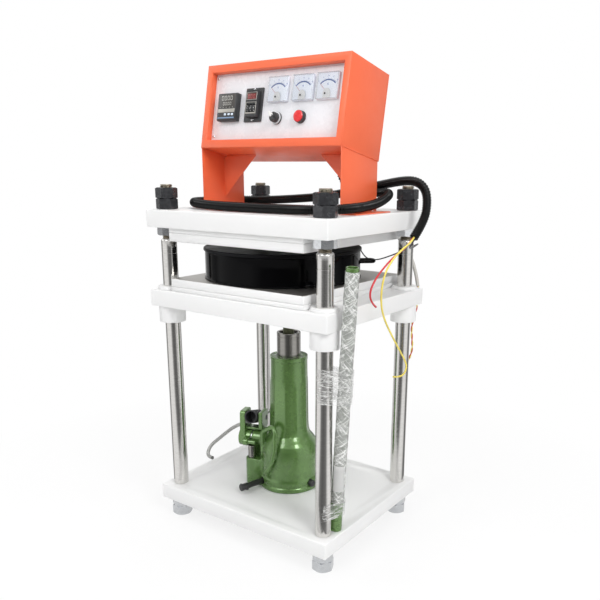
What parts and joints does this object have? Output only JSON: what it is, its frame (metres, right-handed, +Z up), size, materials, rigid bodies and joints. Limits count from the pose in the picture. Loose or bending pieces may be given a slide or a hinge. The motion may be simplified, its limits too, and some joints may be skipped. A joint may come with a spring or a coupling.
{
  "type": "silicone mold vulcanizer",
  "caption": "Four-post bench vulcanizer with a bottle jack, heated plates, a round silicone mold and an orange control box on legs.",
  "frame": {"origin": "centre of the four foot nuts on the bench, at their underside", "axes": "+Z up, +Y to the back, +X to the right seen from the control panel's side"},
  "size_m": [0.51, 0.3846, 0.9002],
  "materials": {
    "white_paint": "satin",
    "zinc": "satin",
    "black_oxide": "satin",
    "polished_steel": "gloss",
    "heater_metal": "matte",
    "mold_black": "gloss",
    "silicone": "matte",
    "jack_green": "gloss",
    "olive_steel": "matte",
    "orange_paint": "satin",
    "panel_white": "satin",
    "black_plastic": "matte",
    "grey_plastic": "matte",
    "window": "gloss",
    "clear": "gloss",
    "film": "gloss",
    "needle_red": "matte",
    "lens_red": "gloss",
    "cable_black": "satin",
    "wire_yellow": "matte",
    "wire_red": "matte",
    "sleeve_grey": "matte",
    "plug_rubber": "matte"
  },
  "bodies": {
    "frame": {"base_plate": "white_paint", "guide_posts": "polished_steel", "foot_nuts": "zinc", "under_nuts": "zinc", "top_plate": "white_paint", "top_nuts": "black_oxide", "upper_heater_plate": "heater_metal", "upper_backing_plate": "white_paint", "jack_body": "jack_green", "jack_collar": "jack_green", "fulcrum_pin": "zinc", "filler_plug": "plug_rubber", "pump_handle": "jack_green", "handle_wrap": "film", "box_shell": "orange_paint", "back_cover": "orange_paint", "control_panel": "panel_white", "legs": "orange_paint", "controller_case": "black_plastic", "timer_case": "black_plastic", "display_windows": "window", "meter_cases": "grey_plastic", "meter_covers": "clear", "bezel_rings": "panel_white", "pilot_lens": "lens_red", "box_screws": "zinc", "conduit_gland": "black_plastic", "conduit": "cable_black", "yellow_wire": "wire_yellow", "red_wire": "wire_red", "probe_lead": "cable_black", "upper_heater_lead": "sleeve_grey", "heater_wire_pair": "wire_red"},
    "platen_group": {"platen": "white_paint", "guide_sleeves": "white_paint", "lower_backing_plate": "white_paint", "lower_heater_plate": "heater_metal", "pressure_plate": "olive_steel", "lower_heater_lead": "sleeve_grey"},
    "mold": {"mold_pan": "mold_black", "mold_lid": "mold_black", "silicone_discs": "silicone"},
    "ram_group": {"ram": "polished_steel", "ram_screw": "olive_steel"},
    "lever": {"lever_yoke": "jack_green", "handle_socket": "black_oxide", "socket_bolt": "black_oxide"},
    "plunger": {"pump_plunger": "polished_steel"},
    "valve": {"release_valve": "black_oxide"},
    "selector": {"selector_knob": "black_plastic"},
    "needle_1": {"meter_needle_1": "needle_red"},
    "needle_2": {"meter_needle_2": "needle_red"},
    "needle_3": {"meter_needle_3": "needle_red"},
    "key_1": {"controller_key_1": "grey_plastic"},
    "key_2": {"controller_key_2": "grey_plastic"},
    "key_3": {"controller_key_3": "grey_plastic"},
    "key_4": {"controller_key_4": "grey_plastic"},
    "thumbwheel_1": {"timer_thumbwheel_1": "black_plastic"},
    "thumbwheel_2": {"timer_thumbwheel_2": "black_plastic"},
    "thumbwheel_3": {"timer_thumbwheel_3": "black_plastic"}
  },
  "joints": [
    {"name": "platen_lift", "type": "slide", "parent": "frame", "child": "platen_group", "axis": [0, 0, 1], "range_m": [-0.032, 0.0105]},
    {"name": "ram_lift", "type": "slide", "parent": "frame", "child": "ram_group", "axis": [0, 0, 1], "range_m": [-0.032, 0.0105]},
    {"name": "mold_slide", "type": "slide", "parent": "platen_group", "child": "mold", "axis": [0, -1, 0], "range_m": [0, 0.34]},
    {"name": "lever_pump", "type": "hinge", "parent": "frame", "child": "lever", "pos_m": [-0.08793, -0.03028, 0.16], "axis": [-0.9455, -0.3256, 0], "range_deg": [-10, 35]},
    {"name": "plunger_stroke", "type": "slide", "parent": "frame", "child": "plunger", "axis": [0, 0, 1], "range_m": [-0.0046, 0.0157]},
    {"name": "valve_turn", "type": "hinge", "parent": "frame", "child": "valve", "pos_m": [-0.028, -0.054, 0.084], "axis": [-0.23, -0.9732, 0], "range_deg": [0, 270]},
    {"name": "selector_turn", "type": "hinge", "parent": "frame", "child": "selector", "pos_m": [0.008, -0.04407, 0.80021], "axis": [0, -0.9816, 0.1908], "range_deg": [-45, 45]},
    {"name": "needle_turn_1", "type": "hinge", "parent": "frame", "child": "needle_1", "pos_m": [0.0075, -0.03788, 0.83731], "axis": [0, 0.9816, -0.1908], "range_deg": [0, 90]},
    {"name": "needle_turn_2", "type": "hinge", "parent": "frame", "child": "needle_2", "pos_m": [0.063, -0.03788, 0.83731], "axis": [0, 0.9816, -0.1908], "range_deg": [0, 90]},
    {"name": "needle_turn_3", "type": "hinge", "parent": "frame", "child": "needle_3", "pos_m": [0.1155, -0.03788, 0.83731], "axis": [0, 0.9816, -0.1908], "range_deg": [0, 90]},
    {"name": "key_press_1", "type": "slide", "parent": "frame", "child": "key_1", "axis": [0, 0.9816, -0.1908], "range_m": [0, 0.001], "stiffness_N_per_m": 150, "springref_m": -0.0005},
    {"name": "key_press_2", "type": "slide", "parent": "frame", "child": "key_2", "axis": [0, 0.9816, -0.1908], "range_m": [0, 0.001], "stiffness_N_per_m": 150, "springref_m": -0.0005},
    {"name": "key_press_3", "type": "slide", "parent": "frame", "child": "key_3", "axis": [0, 0.9816, -0.1908], "range_m": [0, 0.001], "stiffness_N_per_m": 150, "springref_m": -0.0005},
    {"name": "key_press_4", "type": "slide", "parent": "frame", "child": "key_4", "axis": [0, 0.9816, -0.1908], "range_m": [0, 0.001], "stiffness_N_per_m": 150, "springref_m": -0.0005},
    {"name": "thumbwheel_turn_1", "type": "hinge", "parent": "frame", "child": "thumbwheel_1", "pos_m": [-0.054, -0.04414, 0.81713], "axis": [1, 0, 0], "continuous": true},
    {"name": "thumbwheel_turn_2", "type": "hinge", "parent": "frame", "child": "thumbwheel_2", "pos_m": [-0.046, -0.04414, 0.81713], "axis": [1, 0, 0], "continuous": true},
    {"name": "thumbwheel_turn_3", "type": "hinge", "parent": "frame", "child": "thumbwheel_3", "pos_m": [-0.038, -0.04414, 0.81713], "axis": [1, 0, 0], "continuous": true}
  ],
  "couplings": [
    {"joint": "ram_lift", "follows": "platen_lift", "ratio": 1},
    {"joint": "plunger_stroke", "follows": "lever_pump", "m_per_rad": 0.0255}
  ]
}
